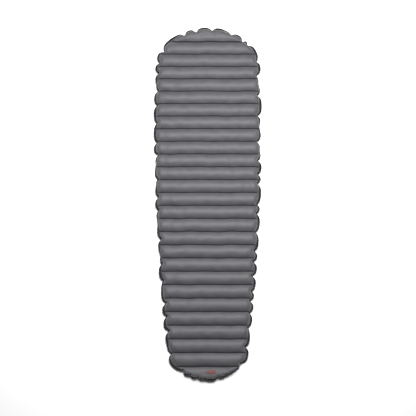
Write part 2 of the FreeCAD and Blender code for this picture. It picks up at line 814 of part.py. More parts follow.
def make_wing_knob():
    """The knob: a vented disc with a grip outside, and a hub whose end is a pair of cams on the cross pin."""
    disc_radius, disc_top = knob_bore() - size.slide_fit, disc_bottom() + size.knob_disc
    corners = [
        (size.hub_bore, -size.hub_depth),
        (size.hub_radius, -size.hub_depth),
        (size.hub_radius, disc_bottom()),
        (disc_radius, disc_bottom()),
        (disc_radius, disc_top),
        (ORIGIN, disc_top),
        (ORIGIN, disc_bottom()),
        (size.hub_bore, disc_bottom()),
    ]
    body = turned("wing_knob", corners)

    vent = new_sketch(body, "knob_vent", "XY_Plane", disc_top)
    vent_reach = (size.hub_radius + disc_radius) / 2
    draw_circle(vent, vent_reach, ORIGIN, (disc_radius - size.hub_radius) / 2 - size.vent_margin)
    ring_pattern(body, cut_through(body, vent, size.knob_disc * 3), VENTS)

    # each cam starts above the pin and comes down with the knob's turn, with room for the pin at both ends
    drop = size.poppet_travel
    inner, outer = size.hub_bore - size.slide_fit, size.hub_radius + size.slide_fit
    below = -size.hub_depth - drop - size.slide_fit
    ramp = new_sketch(body, "knob_cam", "XZ_Plane")
    draw_section(ramp, [(inner, below), (outer, below), (outer, cam_top()), (inner, cam_top())])
    helix = body.newObject("PartDesign::SubtractiveHelix", "knob_cam_cut")
    helix.Profile = ramp
    helix.ReferenceAxis = (ramp, ["V_Axis"])
    helix.Mode = "pitch-height-angle"
    helix.Reversed = True
    bind(helix, "Pitch", drop * 360 / size.knob_turn)
    bind(helix, "Height", drop)
    ring_pattern(body, helix, CAMS)
    shut, opened = (ORIGIN, cam_top()), (size.knob_turn, cam_top() - drop)
    for name, (turn, top) in {"knob_shut_slot": shut, "knob_open_slot": opened}.items():
        slot = new_sketch(body, name, "XY_Plane", top)
        slot.AttachmentOffset = Placement(slot.AttachmentOffset.Base, Rotation(Vector(0, 0, 1), -turn.number))
        draw_section(slot, box_corners(-outer, outer, size.pin_radius + size.slide_fit))
        pocket = body.newObject("PartDesign::Pocket", name + "_cut")
        pocket.Profile = slot
        pocket.SideType = "One side"
        bind(pocket, "Length", top + size.hub_depth + size.slide_fit)
        body.Tip = pocket

    wing = new_sketch(body, "knob_wing", "XY_Plane", disc_top)
    reach, tip, waist = ring_inner() - size.wing_clearance, size.wing_tip, size.wing_waist
    bow = [(-reach, -tip), (ORIGIN, -waist), (reach, -tip), (reach, tip), (ORIGIN, waist), (-reach, tip)]
    draw_section(wing, bow)
    grip = pad_sketch(body, wing, size.wing_height)
    body.Tip = grip
    doc.recompute()
    top = (disc_top + size.wing_height).number
    body.Tip = round_edges(body, grip, size.wing_round, lambda box: box.ZMax > top - 0.01)
    return body


def make_retaining_ring():
    outer = ring_inner() + size.ring_width
    corners = tube_corners(ring_inner(), outer, ring_bottom(), ring_bottom() + size.ring_height)
    return turned("retaining_ring", corners, angle=360 - size.ring_gap)


# The pad ------------------------------------------------------------------------------------------

TOP, BOTTOM = Half("top", True), Half("bottom", False)

PIECES = [
    make_top_sheet(),
    make_bottom_sheet(),
    make_truss_film(TOP),
    make_middle_film(),
    make_truss_film(BOTTOM),
    make_valve_patch(),
    make_valve_body(),
    make_poppet(),
    make_poppet_seal(),
    make_cross_pin(),
    make_spring_washer(),
    make_return_spring(),
    make_wing_knob(),
    make_retaining_ring(),
]
doc.recompute()

faulty = [thing.Name for thing in doc.Objects if {"Invalid", "Error"} & set(thing.State)]
faulty += [piece.Name for piece in PIECES if piece.Shape.isNull() or not piece.Shape.isValid()]
if faulty:
    raise SystemExit(f"not built: {faulty}")
os.makedirs("parts", exist_ok=True)
for piece in PIECES:
    piece.Label = piece.Name
    piece.Shape.exportStep(f"parts/{piece.Label}.step")
    print(f"{piece.Label}: {len(piece.Shape.Solids)} solid, {piece.Shape.Volume:.1f} mm3")
valve = valve_placement()
print("valve at", valve.Base, "facing", valve.Rotation.multVec(Vector(0, 0, 1)))
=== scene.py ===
import json
import math

import bmesh
import bpy
import numpy as np
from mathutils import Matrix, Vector, geometry


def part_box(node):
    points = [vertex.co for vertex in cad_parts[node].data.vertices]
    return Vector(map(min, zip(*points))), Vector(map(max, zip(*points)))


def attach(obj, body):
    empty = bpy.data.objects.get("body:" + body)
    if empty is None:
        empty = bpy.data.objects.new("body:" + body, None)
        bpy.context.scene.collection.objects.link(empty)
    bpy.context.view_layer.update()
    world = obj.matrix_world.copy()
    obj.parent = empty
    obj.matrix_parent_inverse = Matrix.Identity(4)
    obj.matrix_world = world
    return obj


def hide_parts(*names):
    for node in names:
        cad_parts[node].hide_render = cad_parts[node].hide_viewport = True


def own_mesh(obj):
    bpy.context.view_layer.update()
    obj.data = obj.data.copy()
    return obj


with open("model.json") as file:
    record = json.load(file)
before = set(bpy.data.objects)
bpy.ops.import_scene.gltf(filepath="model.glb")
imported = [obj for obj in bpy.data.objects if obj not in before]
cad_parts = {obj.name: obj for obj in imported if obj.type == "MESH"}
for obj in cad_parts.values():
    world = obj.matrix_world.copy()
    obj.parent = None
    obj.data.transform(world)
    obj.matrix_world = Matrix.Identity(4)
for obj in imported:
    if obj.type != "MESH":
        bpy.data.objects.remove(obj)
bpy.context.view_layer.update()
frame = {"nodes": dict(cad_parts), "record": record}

# A blown-up sleeping pad, head at +Y, lying on the ground. Two fabric sheets are cut flat, welded
# together around a rim, and held down along straight welds to the films inside. Blowing it up
# shortens the middle but not the rim, so the rim buckles into scallops with a tuck between each
# pair. The welds are fixed by the design; the sheets between and around them are blown up as cloth.
# All sizes are in metres.

MM = 0.001

# the baffles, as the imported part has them
PITCH = 66.8 * MM
SEAMS = 26
LAST_SEAM = PITCH * (SEAMS - 1) / 2
UPPER_WELD = 46.4 * MM
LOWER_WELD = 16.7 * MM
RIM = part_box("top_sheet")[0].z
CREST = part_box("top_sheet")[1].z
RIM_WIDTH = 8 * MM
SIDE_ROUND = 30 * MM
SIDE_END = 1.1 * SIDE_ROUND  # the sides' rounding is past this far inside the rim's weld

# the mesh of each sheet, in rows across the pad and columns along it
ROWS = 12  # rows of points in each baffle
COLUMN = 6.5 * MM
COLUMNS = 50  # on each side of the middle, enough to pass the rim
MIDDLE_COLUMNS = 15  # out to this column on each side of the middle, every second one is left out
CLEARANCE = 0.6 * COLUMN  # the columns stop this far inside the rim's weld
BORDER = 85 * MM  # nearer the rim than this the welds sway less, the start shape is uneven,
# and every column is kept at both ends
RIM_STEP = 6 * MM

# where the rim is tucked: along the sides in baffles from the first seam at the head,
# and along both ends by how far across the pad
LEFT_TUCKS = (
    0.6, 1.6, 2.5, 3.9, 5.1, 6.5, 8.0, 9.0, 10.9,
    12.3, 13.3, 15.6, 17.4, 18.7, 20.4, 21.4, 22.4, 24.1,
)
RIGHT_TUCKS = (
    0.1, 1.5, 2.6, 4.3, 5.9, 7.9, 9.5, 10.5, 11.3, 12.9, 13.6,
    15.0, 16.5, 17.3, 18.3, 19.5, 20.2, 21.1, 22.2, 23.6, 24.9,
)
HEAD_TUCKS = (-129 * MM, -66 * MM, 27 * MM, 126 * MM, 191 * MM)
FOOT_TUCKS = (-139 * MM, -98 * MM, -56 * MM, 58 * MM)
TUCK_DEPTH = 16 * MM
TUCK_WIDTH = 16 * MM
END_TUCK = 0.65  # how wide the tucks round both ends are, beside the sides' tucks
TUCK_REACH = 26 * MM  # how far a tuck's crease runs in from the rim
TUCK_POINT = 1.3  # how pointed a tuck's bottom is
SCALLOP = 6 * MM
SCALLOP_FULLNESS = 0.6  # 1 is a plain half wave, and less is fuller
FOOT_PULL = 12 * MM  # how far the tight foot end draws its rim in
FOOT_FROM = -0.80  # where along the pad that begins
CREASE = 0.35  # how much of the sheets' height a tuck takes away at the rim
SWAY = 1.4 * MM  # how far the welds wander from straight lines
SWELL = 0.05  # how unevenly the baffles are filled

# the cloth
SPARE_RIM = 0.04  # how much longer the rim's cloth is than its start shape
ROUGHNESS = 0.2 * MM  # how uneven the start shape is near the rim, so that the spare cloth buckles
PRESSURE = 200
STRETCH_STIFFNESS = 60
BENDING = (0.03, 1.5)  # of the single sheets, and of the doubled rim
HELD_FROM = 11 * MM  # the welds to the films stop this far inside the rim's weld
BLOW_FRAMES = 12
RIM_SMOOTHING = 5
SHEET = 0.4 * MM  # half the step from one sheet's face to the other's at the rim
LIP = 1.8 * SHEET  # how far each sheet's edge is turned over there
SETTLING = 0.6  # how much of what the cloth swells above the crests is taken off
# the dark edge widens toward the foot partly as painted shade, for the shade that the key light at the head
# leaves on the foot's rim
TRIM_HEAD = 3.5 * MM  # the upper sheet is trimmed this far inside the lower one at the head,
TRIM_FOOT = 5.3 * MM  # and this far at the foot, so the lower one shows as a dark edge

# the studio
FLOOR = 2.1
FLOOR_MIDDLE = 0.3  # how far along the pad the floor's middle is
FLOOR_POINTS = 96
FILL = 0.07  # light from all round, beside the key light's
CAMERA_TILT = math.radians(6.54)  # from straight down, toward the foot
CAMERA_AIM = Vector((0.001, -0.041, 0))
CAMERA_AWAY = 2.995

# the finish
THREAD = 0.35 * MM
MARK = (18 * MM, -860 * MM)  # the middle of the plain mark printed on the foot baffle
MARK_HALF = 14 * MM
MARK_ROUND = 9 * MM
RUST = (0.1, 0.022, 0.017, 1)

rng = np.random.default_rng(7)


def design_outline():
    """The design's outline seen from above, as a convex loop of points, anticlockwise."""
    rim = [v.co.xy for v in frame["nodes"]["top_sheet"].data.vertices if v.co.z < RIM + MM]
    loop = np.array([rim[i] for i in geometry.convex_hull_2d(rim)])
    step = np.linalg.norm(loop - np.roll(loop, 1, axis=0), axis=1)
    loop = loop[step > 0.01 * MM]
    after = np.roll(loop, -1, axis=0)
    turn = np.sum(loop[:, 0] * after[:, 1] - after[:, 0] * loop[:, 1])
    return loop if turn > 0 else loop[::-1]


OUTLINE = design_outline()
EDGES = np.roll(OUTLINE, -1, axis=0) - OUTLINE
WALKED = np.concatenate([[0], np.cumsum(np.linalg.norm(EDGES, axis=1))])


def rim_place(points):
    """How far inside the outline each point is, which way is straight out, and how far round it is."""
    inset = np.full(len(points), np.inf)
    outward = np.zeros((len(points), 2))
    around = np.zeros(len(points))
    for start, edge, walked in zip(OUTLINE, EDGES, WALKED):
        size = np.linalg.norm(edge)
        along = np.clip((points - start) @ edge / size**2, 0, 1)
        away = np.linalg.norm(start + along[:, None] * edge - points, axis=1)
        nearer = away < inset
        inset[nearer] = away[nearer]
        outward[nearer] = np.array([edge[1], -edge[0]]) / size
        around[nearer] = walked + along[nearer] * size
    return inset, outward, around


def is_inside(points):
    across = points[:, None, :] - OUTLINE[None, :, :]
    turn = EDGES[None, :, 0] * across[:, :, 1] - EDGES[None, :, 1] * across[:, :, 0]
    return (turn > -1e-12).all(axis=1)


def rim_loop():
    """Evenly spaced points round the outline, and the direction straight out at each."""
    count = round(WALKED[-1] / RIM_STEP)
    at = np.arange(count) * WALKED[-1] / count
    closed = np.vstack([OUTLINE, OUTLINE[:1]])
    loop = np.column_stack([np.interp(at, WALKED, closed[:, i]) for i in (0, 1)])
    along = np.roll(loop, -2, axis=0) - np.roll(loop, 2, axis=0)
    outward = np.column_stack([along[:, 1], -along[:, 0]])
    return loop, outward / np.linalg.norm(outward, axis=1)[:, None]


def baffle_radius(rise):
    return (PITCH**2 / 4 + rise**2) / (2 * rise)


def row_lines():
    """The Y of each row of points, evenly spaced over the crowned baffles, with a row on every seam."""
    radius = baffle_radius(CREST - UPPER_WELD)
    half_turn = math.asin(PITCH / 2 / radius)
    rows = [LAST_SEAM]
    for k in range(SEAMS - 1):
        middle = PITCH * (k + 0.5) - LAST_SEAM
        rows += [middle + radius * math.sin(half_turn * (2 * i / ROWS - 1)) for i in range(ROWS)]
    step = 0.9 * 2 * radius * half_turn / ROWS
    ends = np.arange(LAST_SEAM + step, OUTLINE[:, 1].max(), step)
    return np.concatenate([-ends[::-1], sorted(rows), ends])


def seam_phase(y):
    return (y + LAST_SEAM) / PITCH


def on_seam(y):
    phase = seam_phase(y)
    return (np.abs(phase - np.round(phase)) < 0.001) & (np.abs(y) < LAST_SEAM + MM)


def crowned(y, weld, crest):
    """Height of a sheet at y: arcs from weld to weld, and level past the end baffles' crests."""
    rise = abs(crest - weld)
    radius = baffle_radius(rise)
    phase = seam_phase(y)
    off = (phase - np.floor(phase) - 0.5) * PITCH
    past = np.abs(y) - LAST_SEAM
    off = np.where(past > 0, np.minimum(past - PITCH / 2, 0), off)
    bulge = np.sqrt(radius**2 - off**2) - (radius - rise)
    return weld + np.sign(crest - weld) * bulge


def gentle_field(points, wavelengths, count=9):
    """A smooth seeded field between about -1 and 1, as a few waves that cross the pad."""
    total = np.zeros(len(points))
    for _ in range(count):
        heading = rng.uniform(-0.6, 0.6)
        length = rng.uniform(*wavelengths)
        along = points[:, 0] * math.cos(heading) + points[:, 1] * math.sin(heading)
        total += np.sin(2 * math.pi * along / length + rng.uniform(0, 2 * math.pi))
    return total / math.sqrt(count * 2)


def tuck_places():
    """How far round the outline each tuck is, in order, and how wide each is beside the sides' tucks."""
    sides = [(-1, t) for t in LEFT_TUCKS] + [(1, t) for t in RIGHT_TUCKS]
    reach = 2 * OUTLINE[:, 0].max()
    points = []
    for side, baffles in sides:
        points.append((side * reach, LAST_SEAM - baffles * PITCH))
    points += [(x, OUTLINE[:, 1].max() + reach) for x in HEAD_TUCKS]
    points += [(x, OUTLINE[:, 1].min() - reach) for x in FOOT_TUCKS]
    loop, _ = rim_loop()
    _, _, around = rim_place(loop)
    found = []
    for i, (x, y) in enumerate(points):
        if i < len(sides):
            miss = np.where(loop[:, 0] * x > 0, np.abs(loop[:, 1] - y), np.inf)
        else:
            miss = np.where(loop[:, 1] * y > 0, np.abs(loop[:, 0] - x), np.inf)
        found.append(around[np.argmin(miss)])
    order = np.argsort(found)
    return np.array(found)[order], np.where(order < len(sides), 1, END_TUCK)


def tuck_and_scallop(around, places, widths, strengths):
    """A tuck's strength at its bottom, 0 beside it; and 0 at each tuck, 1 in the middle of a scallop."""
    whole = WALKED[-1]
    after = np.searchsorted(places, around) % len(places)
    before = (after - 1) % len(places)
    to_after = (places[after] - around) % whole
    from_before = (around - places[before]) % whole
    near = np.minimum(to_after, from_before)
    nearest = np.where(to_after < from_before, after, before)
    width = TUCK_WIDTH * widths[nearest]
    tuck = strengths[nearest] * np.clip(1 - near / width, 0, 1) ** TUCK_POINT
    half_wave = np.sin(math.pi * from_before / (from_before + to_after + 1e-9))
    scallop = half_wave ** SCALLOP_FULLNESS
    return tuck, scallop


def sheet_plan():
    """One sheet inside the rim's weld, seen from above: its points, the weld's loop first, and faces."""
    loop, outward = rim_loop()
    weld = loop - outward * RIM_WIDTH
    columns = np.arange(-COLUMNS, COLUMNS + 1)
    grid, number = [], []
    for y in row_lines():
        grid += [(column * COLUMN, y) for column in columns]
        number += list(columns)
    grid, number = np.array(grid), np.array(number)
    inset, _, _ = rim_place(grid)
    kept = is_inside(grid) & (inset > RIM_WIDTH + CLEARANCE)
    at_end = (inset < BORDER) & (np.abs(grid[:, 1]) > LAST_SEAM - PITCH / 2)
    kept &= (np.abs(number) > MIDDLE_COLUMNS) | at_end | (number % 2 == 0)
    points = np.vstack([weld, grid[kept]])
    ring = [(i, (i + 1) % len(weld)) for i in range(len(weld))]
    _, _, faces, *_ = geometry.delaunay_2d_cdt([Vector(p) for p in points], ring, [], 1, 1e-7)
    return loop, outward, points, paired(points, faces)


def paired(points, triangles):
    """The triangles joined into four-sided faces where they can be, all facing up."""
    build = bmesh.new()
    corners = [build.verts.new((x, y, 0)) for x, y in points]
    for triangle in triangles:
        build.faces.new([corners[i] for i in triangle])
    bmesh.ops.join_triangles(
        build, faces=build.faces[:], angle_face_threshold=math.pi, angle_shape_threshold=0.7
    )
    build.verts.index_update()
    build.normal_update()
    faces = []
    for face in build.faces:
        order = [v.index for v in face.verts]
        faces.append(order if face.normal.z > 0 else order[::-1])
    build.free()
    return faces


def valve_seat():
    """The middle of the recess's floor, and the way that the valve faces."""
    mount = next(m for m in frame["record"]["mounts"] if m["name"] == "valve_collar")
    axis = Vector(mount["axis"]).normalized()
    middle = Vector(mount["pos_m"])
    patch = frame["nodes"]["valve_patch_ring"].data.vertices
    floor = min((v.co - middle).dot(axis) for v in patch)
    return np.array(middle + floor * axis), np.array(axis)


VALVE, VALVE_AXIS = valve_seat()
FLAT_SEAT = 17 * MM  # the valve holds the lower sheet flat out to here
SEAT_BLEND = 32 * MM  # and has let go of it by here
SEAT_FINE = SEAT_BLEND + 6 * MM  # the sheet's mesh is finer out to here
HOLE = 12.3 * MM
HOLE_POINTS = 64

# the return spring, with heights from the recess's floor
SPRING_RADIUS = 3 * MM
SPRING_WIRE = 0.25 * MM
SPRING_FOOT = -8.5 * MM
SPRING_TOP = -1.2 * MM
SPRING_TURNS = 5
SPRING_STEPS = 48 * SPRING_TURNS
WIRE_CORNERS = 12


def from_valve(points):
    """Height above the recess's floor, and distance from the valve's axis."""
    away = points - VALVE
    height = away @ VALVE_AXIS
    return height, np.linalg.norm(away - height[:, None] * VALVE_AXIS, axis=1)


def smooth(value):
    value = np.clip(value, 0, 1)
    return value * value * (3 - 2 * value)


def foot_pull(y):
    return FOOT_PULL * smooth((FOOT_FROM - y) / PITCH)


def seated(points):
    """The lower sheet's points with those around the valve laid onto the recess's floor."""
    height, away = from_valve(points)
    kept = smooth((away - FLAT_SEAT) / (SEAT_BLEND - FLAT_SEAT))
    lower = points[:, 2] < RIM - MM
    drop = np.where(lower & (away < SEAT_BLEND), height * (1 - kept), 0)
    return points - drop[:, None] * VALVE_AXIS


class Shell:
    """The closed cloth: the upper sheet's points, the lower's inside the rim's weld, the rim's edge."""

    def __init__(self):
        self.loop, self.outward, self.plan, self.faces = sheet_plan()
        self.rim_count = len(self.loop)
        self.count = len(self.plan)
        self.inset, outward, self.around = rim_place(self.plan)
        inner = np.arange(self.rim_count, self.count)
        self.lower = np.concatenate([np.arange(self.rim_count), self.count + np.arange(len(inner))])
        self.edge = self.count + len(inner) + np.arange(self.rim_count)
        self.start = self.start_shape(outward, inner)

    def start_shape(self, outward, inner):
        plan, inset = self.plan, self.inset
        round_off = np.clip((inset - RIM_WIDTH) / SIDE_ROUND, 0, 1)
        round_off[:self.rim_count] = 0
        lift = np.sqrt(1 - (1 - round_off) ** 2)
        places, widths = tuck_places()
        strengths = rng.uniform(0.7, 1.3, len(places))
        tuck, scallop = tuck_and_scallop(self.around, places, widths, strengths)
        fade = np.clip(1 - inset / (TUCK_REACH + RIM_WIDTH), 0, 1)
        push = (SCALLOP * scallop - TUCK_DEPTH * tuck - foot_pull(plan[:, 1])) * fade
        crease = 1 - CREASE * tuck * fade * (inset > RIM_WIDTH)
        sway = SWAY * gentle_field(plan, (90 * MM, 260 * MM))
        swell = 1 + SWELL * gentle_field(plan, (50 * MM, 110 * MM))
        flat = plan + outward * push[:, None]
        flat[:, 1] += sway * smooth(inset / BORDER)
        upper = RIM + (crowned(plan[:, 1], UPPER_WELD, CREST) - RIM) * lift * crease
        under = RIM + (crowned(plan[:, 1], LOWER_WELD, 0) - RIM) * lift * crease
        between = ~on_seam(plan[:, 1])
        upper = np.where(between, RIM + (upper - RIM) * swell, upper)
        _, _, around = rim_place(self.loop)
        tuck, scallop = tuck_and_scallop(around, places, widths, strengths)
        push = SCALLOP * scallop - TUCK_DEPTH * tuck - foot_pull(self.loop[:, 1])
        edge = self.loop + self.outward * push[:, None]
        tucked = [int(np.argmin(np.abs(around - place))) for place in places]
        self.tucked = np.array(tucked)
        points = np.vstack([
            np.column_stack([flat, upper]),
            np.column_stack([flat[inner], under[inner]]),
            np.column_stack([edge, np.full(self.rim_count, RIM)]),
        ])
        loose = np.concatenate([inset < BORDER, inset[inner] < BORDER, np.ones(self.rim_count, bool)])
        points += rng.normal(0, ROUGHNESS, points.shape) * loose[:, None]
        return seated(points)

    def all_faces(self):
        upper = [list(map(int, face)) for face in self.faces]
        under = [[int(self.lower[i]) for i in reversed(face)] for face in self.faces]
        return upper + under + self.flange_faces(self.edge)

    def flange_faces(self, edge, inner=None):
        inner = np.arange(self.rim_count) if inner is None else inner
        turn = range(self.rim_count)
        after = np.roll(np.arange(self.rim_count), -1)
        return [[int(inner[i]), int(edge[i]), int(edge[after[i]]), int(inner[after[i]])] for i in turn]

    def held(self):
        """The points that the welds to the films, the end baffles' crowns, the valve and the tucks hold."""
        deep = self.inset > RIM_WIDTH + HELD_FROM
        past_end = np.abs(self.plan[:, 1]) > LAST_SEAM + MM
        mould = past_end & (self.inset > RIM_WIDTH + SIDE_END)
        fixed = np.where((on_seam(self.plan[:, 1]) & deep) | mould)[0]
        _, away = from_valve(self.start)
        seat = np.where((away < FLAT_SEAT) & (self.start[:, 2] < RIM - MM))[0]
        tucks = [self.tucked, self.edge[self.tucked]]
        return np.unique(np.concatenate([fixed, self.lower[fixed], seat, *tucks]))


def new_piece(name, points, faces):
    mesh = bpy.data.meshes.new(name)
    mesh.from_pydata([tuple(p) for p in points], [], faces)
    mesh.update()
    for face in mesh.polygons:
        face.use_smooth = True
    piece = bpy.data.objects.new(name, mesh)
    bpy.context.scene.collection.objects.link(piece)
    return piece


def weigh(piece, name, weights):
    group = piece.vertex_groups.new(name=name)
    for i, weight in enumerate(weights):
        if weight > 0:
            group.add([i], float(weight), "REPLACE")
    return name


def blow_up(shell):
    """Runs the cloth with air pressure inside it, and gives the points where they end."""
    piece = new_piece("blank", shell.start, shell.all_faces())
    total = len(shell.start)
    pinned = np.zeros(total)
    pinned[shell.held()] = 1
    aired = np.ones(total)
    aired[:shell.rim_count] = 0
    aired[shell.edge] = 0
    taut = np.zeros(total)
    taut[:shell.count] = smooth((shell.inset - RIM_WIDTH) / SIDE_END)
    taut[shell.lower] = taut[:shell.count]
    cloth = piece.modifiers.new("cloth", "CLOTH")
    settings = cloth.settings
    settings.quality = 6
    settings.mass = 0.05
    settings.tension_stiffness = STRETCH_STIFFNESS
    settings.compression_stiffness = STRETCH_STIFFNESS
    settings.shear_stiffness = 3
    settings.bending_stiffness, settings.bending_stiffness_max = BENDING
    settings.vertex_group_bending = weigh(piece, "doubled", 1 - aired)
    settings.use_pressure = True
    settings.uniform_pressure_force = PRESSURE
    settings.vertex_group_pressure = weigh(piece, "aired", aired)
    settings.vertex_group_mass = weigh(piece, "pinned", pinned)
    settings.shrink_min = -SPARE_RIM
    settings.shrink_max = 0
    settings.vertex_group_shrink = weigh(piece, "taut", taut)
    settings.effector_weights.gravity = 0
    cloth.collision_settings.use_collision = False
    cloth.point_cache.frame_end = BLOW_FRAMES
    for step in range(1, BLOW_FRAMES + 1):
        bpy.context.scene.frame_set(step)
    blown = piece.evaluated_get(bpy.context.evaluated_depsgraph_get()).to_mesh()
    points = np.array([v.co for v in blown.vertices])
    bpy.data.objects.remove(piece)
    bpy.context.scene.frame_set(1)
    return points


def flange_up(weld, edge):
    """The way that faces up from the flange at each of its points."""
    along = np.roll(edge, -1, axis=0) - np.roll(edge, 1, axis=0)
    up = np.cross(edge - weld, along)
    return up / np.linalg.norm(up, axis=1)[:, None]


def make_sheet(name, shell, points, upper):
    """One fabric sheet with its half of the flange, whose edge is turned over to meet the other sheet."""
    rim = shell.rim_count
    sheet = points[:shell.count].copy() if upper else points[shell.lower].copy()
    weld, edge = sheet[:rim].copy(), points[shell.edge].copy()
    up = flange_up(weld, edge) * (1 if upper else -1)
    if upper:
        # the trim grows toward the foot, so the wider dark edge there is partly painted shade
        toward_foot = (LAST_SEAM - edge[:, 1]) / (2 * LAST_SEAM)
        trim = TRIM_HEAD + (TRIM_FOOT - TRIM_HEAD) * np.clip(toward_foot, 0, 1)
        edge += (weld - edge) * (trim / RIM_WIDTH)[:, None]
    sheet[:rim] += SHEET * up
    edge += SHEET * up
    lip = edge - LIP * up
    edge_at = shell.count + np.arange(rim)
    faces = [list(map(int, face)) for face in shell.faces]
    faces += shell.flange_faces(edge_at) + shell.flange_faces(edge_at + rim, edge_at)
    if not upper:
        faces = [face[::-1] for face in faces]
    piece = new_piece(name, np.vstack([sheet, edge, lip]), faces)
    # the weld attribute leads the nylon's darkening along the seams, which is partly the welds' own colour
    # and partly painted shade in the grooves beside them
    weld_line = (on_seam(shell.plan[:, 1]) & (shell.inset > RIM_WIDTH + 0.5 * HELD_FROM)).astype(float)
    paint(piece, "weld", np.concatenate([weld_line, np.zeros(2 * rim)]))
    paint(piece, "inset", np.concatenate([shell.inset, np.zeros(2 * rim)]))
    return piece


def paint(piece, name, values):
    attribute = piece.data.attributes.new(name, "FLOAT", "POINT")
    attribute.data.foreach_set("value", np.asarray(values, np.float32))


def fit_valve_seat(piece):
    """Lays the lower sheet onto the valve's flange and cuts the round hole that the valve goes through."""
    build = bmesh.new()
    build.from_mesh(piece.data)
    axis = Vector(VALVE_AXIS)
    seat = Vector(VALVE)

    def away(vertex):
        """Distance from the valve's axis, and a whole metre for points at the rim or above it."""
        offset = vertex.co - seat
        return (offset - offset.dot(axis) * axis).length if vertex.co.z < RIM - MM else 1

    near = [edge for edge in build.edges if min(away(v) for v in edge.verts) < SEAT_FINE]
    bmesh.ops.subdivide_edges(build, edges=near, cuts=1, smooth=0.6, use_grid_fill=True)
    spread = [v for v in build.verts if away(v) < SEAT_BLEND]
    laid = seated(np.array([v.co for v in spread]))
    for vertex, place in zip(spread, laid):
        vertex.co = Vector(place)
    for vertex in build.verts:
        vertex.co.z = max(vertex.co.z, 0)
    cut = [face for face in build.faces if min(away(v) for v in face.verts) < FLAT_SEAT - MM]
    for vertex in build.verts:
        vertex.tag = False
    for face in cut:
        for vertex in face.verts:
            vertex.tag = True
    bmesh.ops.delete(build, geom=cut, context="FACES")
    opening = [edge for edge in build.edges if edge.is_boundary and all(v.tag for v in edge.verts)]
    side = axis.cross(Vector((0, 0, 1))).normalized()
    rise = axis.cross(side)
    ring = []
    for i in range(HOLE_POINTS):
        turn = 2 * math.pi * i / HOLE_POINTS
        out = math.cos(turn) * side + math.sin(turn) * rise
        ring.append(build.verts.new(seat + HOLE * out))
    hole = [build.edges.new((ring[i], ring[(i + 1) % HOLE_POINTS])) for i in range(HOLE_POINTS)]
    bmesh.ops.bridge_loops(build, edges=opening + hole)
    bmesh.ops.recalc_face_normals(build, faces=build.faces[:])
    for face in build.faces:
        face.smooth = True
    build.to_mesh(piece.data)
    build.free()


def even_rim(shell, points):
    """Takes the small kinks out of the stiff, doubled rim between its tucks."""
    free = np.ones(shell.rim_count, bool)
    free[shell.tucked] = False
    for loop in (np.arange(shell.rim_count), shell.edge):
        for _ in range(RIM_SMOOTHING):
            rim = points[loop]
            eased = (np.roll(rim, 1, axis=0) + 2 * rim + np.roll(rim, -1, axis=0)) / 4
            points[loop[free]] = eased[free]
    return points


def rest_on_ground(points):
    """Flattens what the cloth swelled below the ground, and eases what it swelled above the crests."""
    over = np.maximum(points[:, 2] - CREST, 0)
    points[:, 2] = np.maximum(points[:, 2] - SETTLING * over, 0)
    return points


class Shade:
    """A socket of a material's nodes, with its arithmetic written as Python."""

    def __init__(self, tree, socket=None):
        self.tree = tree
        self.socket = socket

    def node(self, kind, settings, inputs, output=0):
        """Adds a node: its settings first, then the numbers, colours or links of its sockets."""
        added = self.tree.nodes.new(kind)
        for name, value in settings.items():
            if name == "stops":
                fill_ramp(added.color_ramp, value)
            else:
                setattr(added, name, value)
        for name, value in inputs.items():
            if isinstance(value, Shade):
                self.tree.links.new(value.socket, added.inputs[name])
            else:
                added.inputs[name].default_value = value
        return Shade(self.tree, added.outputs[output])

    def do(self, operation, *others):
        """This value through a Math node, with any others after it."""
        return self.node("ShaderNodeMath", {"operation": operation}, dict(enumerate((self, *others))))

    def __add__(self, other):
        return self.do("ADD", other)

    def __sub__(self, other):
        return self.do("SUBTRACT", other)

    def __rsub__(self, other):
        return self.do("MULTIPLY_ADD", -1, other)

    def __mul__(self, other):
        return self.do("MULTIPLY", other)

    __radd__ = __add__
    __rmul__ = __mul__


def fill_ramp(ramp, stops):
    while len(ramp.elements) < len(stops):
        ramp.elements.new(1)
    for element, (place, colour) in zip(ramp.elements, stops):
        element.position = place
        element.color = colour


def grey(value, blue=0.0):
    """A grey with a little blue in it, as a colour."""
    return (value, value * (1 - 0.3 * blue), value * (1 + blue), 1)


def start_material(name, roughness, **constants):
    """A material whose surface is ready to be fed, and a Shade to build its nodes with."""
    material = bpy.data.materials.new(name)
    material.use_nodes = True
    surface = material.node_tree.nodes["Principled BSDF"]
    surface.inputs["Roughness"].default_value = roughness
    for socket, value in constants.items():
        surface.inputs[socket.replace("_", " ")].default_value = value
    return material, surface, Shade(material.node_tree)


def feed(surface, socket, shade):
    shade.tree.links.new(shade.socket, surface.inputs[socket])


def place_of(shade):
    """Where a point is on the object, and its X, Y and Z."""
    place = shade.node("ShaderNodeTexCoord", {}, {}, "Object")
    return place, [place.node("ShaderNodeSeparateXYZ", {}, {0: place}, i) for i in range(3)]


def noise(place, size, detail=2.0, stretch=None):
    """Noise between 0 and 1 whose lumps are about that many metres across."""
    if stretch:
        place = place.node("ShaderNodeVectorMath", {"operation": "MULTIPLY"}, {0: place, 1: stretch})
    return place.node("ShaderNodeTexNoise", {}, {"Vector": place, "Scale": 1 / size, "Detail": detail})


def ease(shade, low, high, start=0.0, end=1.0):
    """From start to end as the value goes from low to high, with soft ends."""
    settings = {"interpolation_type": "SMOOTHSTEP"}
    return shade.node("ShaderNodeMapRange", settings, {0: shade, 1: low, 2: high, 3: start, 4: end})


def mix(factor, first, second):
    inputs = {0: factor, 6: first, 7: second}
    return factor.node("ShaderNodeMix", {"data_type": "RGBA"}, inputs, 2)


def bump(surface, height, distance, strength=1.0):
    inputs = {"Strength": strength, "Distance": distance, "Height": height}
    feed(surface, "Normal", height.node("ShaderNodeBump", {}, inputs))


def layer(shade, name):
    return shade.node("ShaderNodeAttribute", {"attribute_name": name}, {}, "Fac")


def thread(coordinate, width):
    """A row of threads of that width, 0 in the gaps and 1 on their backs."""
    return (coordinate * (math.pi / width)).do("SINE").do("ABSOLUTE")


